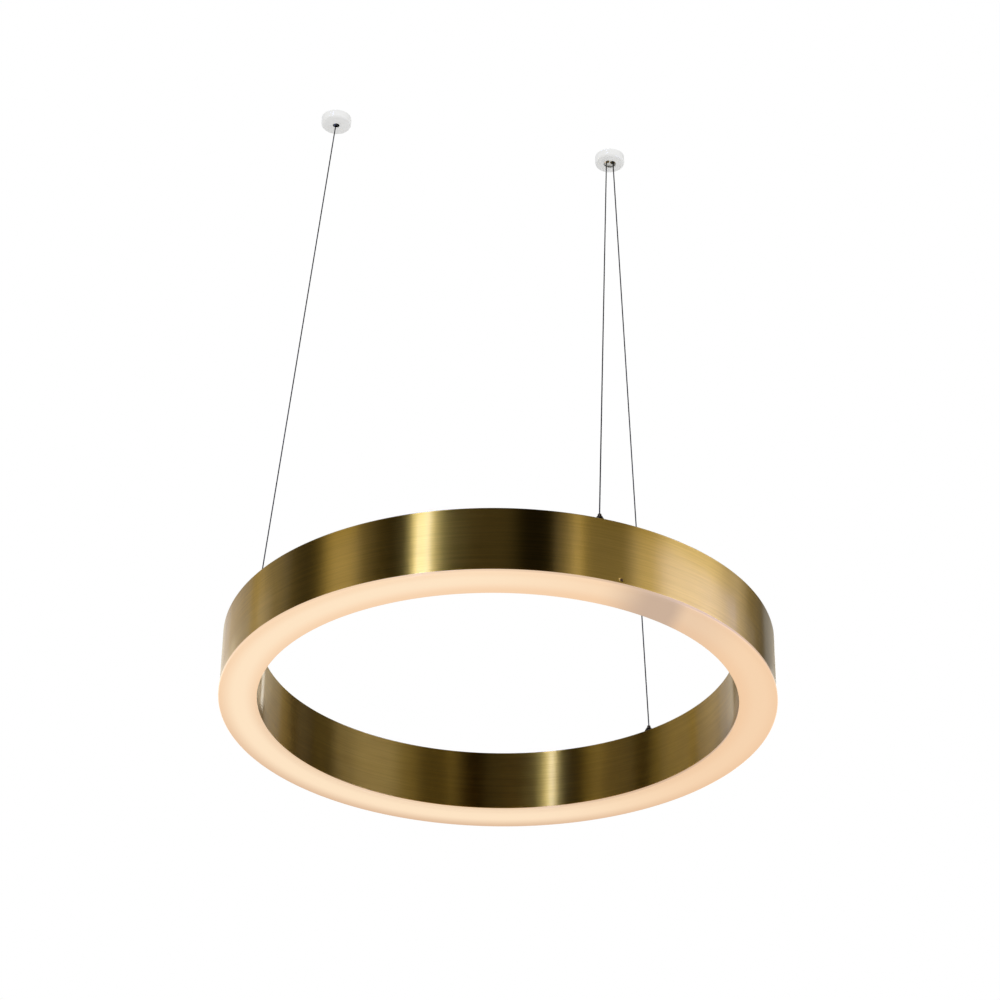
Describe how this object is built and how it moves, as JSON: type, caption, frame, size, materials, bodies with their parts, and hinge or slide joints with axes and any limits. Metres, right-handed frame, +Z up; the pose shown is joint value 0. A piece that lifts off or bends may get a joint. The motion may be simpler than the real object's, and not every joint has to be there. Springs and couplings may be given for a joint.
{
  "type": "led ring chandelier",
  "caption": "Horizontal brushed brass ring lamp with an opal LED diffuser underneath, hung on thin wires from small ceiling fittings; it swings freely about the line of the fittings.",
  "frame": {"origin": "on the ceiling, midway between the two fittings: the centre of their four screw holes", "axes": "+Z up into the ceiling; +X along the line of the fittings, from the single anchor to the feed fitting, which is also the axis that the ring swings about; the ring's own axis is parallel to Z at x = 38.5 mm"},
  "size_m": [0.602, 0.602, 0.776],
  "materials": {
    "band_brass": "brushed along the ring, antique lacquer",
    "opal": "glossy opal",
    "gripper_bronze": "dark bronzed, satin",
    "tip_bronze": "dark bronzed, satin",
    "wire_steel": "stranded steel rope",
    "bright_steel": "plain turned steel",
    "screw_brass": "antique brass",
    "cover_white": "satin white lacquer",
    "anchor_zinc": "zinc plated",
    "feed_nylon": "glass-filled nylon",
    "insulator_nylon": "black nylon",
    "contact_brass": "bright brass",
    "raw_aluminium": "mill finish",
    "board_white": "white solder mask",
    "jumper_tin": "tinned",
    "chip_phosphor": "warm white phosphor",
    "driver_plastic": "moulded",
    "driver_pcb": "circuit board",
    "lead_red": "silicone insulation",
    "lead_black": "silicone insulation",
    "lead_white": "silicone insulation",
    "clip_nylon": "natural nylon"
  },
  "bodies": {
    "ceiling": {"anchor_base": "anchor_zinc", "anchor_cover": "cover_white", "feed_base": "feed_nylon", "feed_cover": "cover_white", "feed_contact_pos": "contact_brass", "feed_contact_neg": "contact_brass", "feed_terminal_screws": "bright_steel", "cover_grub_screws": "cover_white"},
    "ring": {"wire_a": "wire_steel", "wire_b": "wire_steel", "wire_c": "wire_steel", "ball_end_a": "bright_steel", "ball_end_b": "bright_steel", "ball_end_c": "bright_steel", "gripper_body_a": "gripper_bronze", "gripper_body_b": "gripper_bronze", "gripper_body_c": "gripper_bronze", "gripper_spring_a": "bright_steel", "gripper_spring_b": "bright_steel", "gripper_spring_c": "bright_steel", "gripper_plugs": "screw_brass", "gripper_nuts": "bright_steel", "gripper_insulators": "insulator_nylon", "insulator_washers": "insulator_nylon", "outer_band": "band_brass", "inner_band": "band_brass", "outer_splice": "band_brass", "inner_splice": "band_brass", "top_plate": "band_brass", "hanger_blocks": "raw_aluminium", "spacer_blocks": "raw_aluminium", "top_screws": "screw_brass", "tray_standoffs": "bright_steel", "led_tray": "raw_aluminium", "tray_screws": "bright_steel", "led_boards": "board_white", "led_chips": "chip_phosphor", "board_jumpers": "jumper_tin", "driver_case": "driver_plastic", "driver_lid": "driver_plastic", "driver_board": "driver_pcb", "driver_screws": "bright_steel", "terminal_lugs": "contact_brass", "lead_pos": "lead_red", "lead_neg": "lead_black", "lead_led": "lead_white", "lead_clips": "clip_nylon", "diffuser": "opal", "diffuser_screws": "screw_brass"},
    "tip_a": {"gripper_tip_a": "tip_bronze", "gripper_balls_a": "bright_steel"},
    "tip_b": {"gripper_tip_b": "tip_bronze", "gripper_balls_b": "bright_steel"},
    "tip_c": {"gripper_tip_c": "tip_bronze", "gripper_balls_c": "bright_steel"}
  },
  "joints": [
    {"name": "ring_swing", "type": "hinge", "parent": "ceiling", "child": "ring", "pos_m": [0, 0, -0.004], "axis": [1, 0, 0], "range_deg": [-10, 10]},
    {"name": "tip_a_press", "type": "slide", "parent": "ring", "child": "tip_a", "axis": [0, 0, -1], "range_m": [0, 0.0025], "stiffness_N_per_m": 600, "springref_m": -0.0012, "deforming": ["gripper_spring_a"]},
    {"name": "tip_b_press", "type": "slide", "parent": "ring", "child": "tip_b", "axis": [0, 0, -1], "range_m": [0, 0.0025], "stiffness_N_per_m": 600, "springref_m": -0.0012, "deforming": ["gripper_spring_b"]},
    {"name": "tip_c_press", "type": "slide", "parent": "ring", "child": "tip_c", "axis": [0, 0, -1], "range_m": [0, 0.0025], "stiffness_N_per_m": 600, "springref_m": -0.0012, "deforming": ["gripper_spring_c"]}
  ]
}
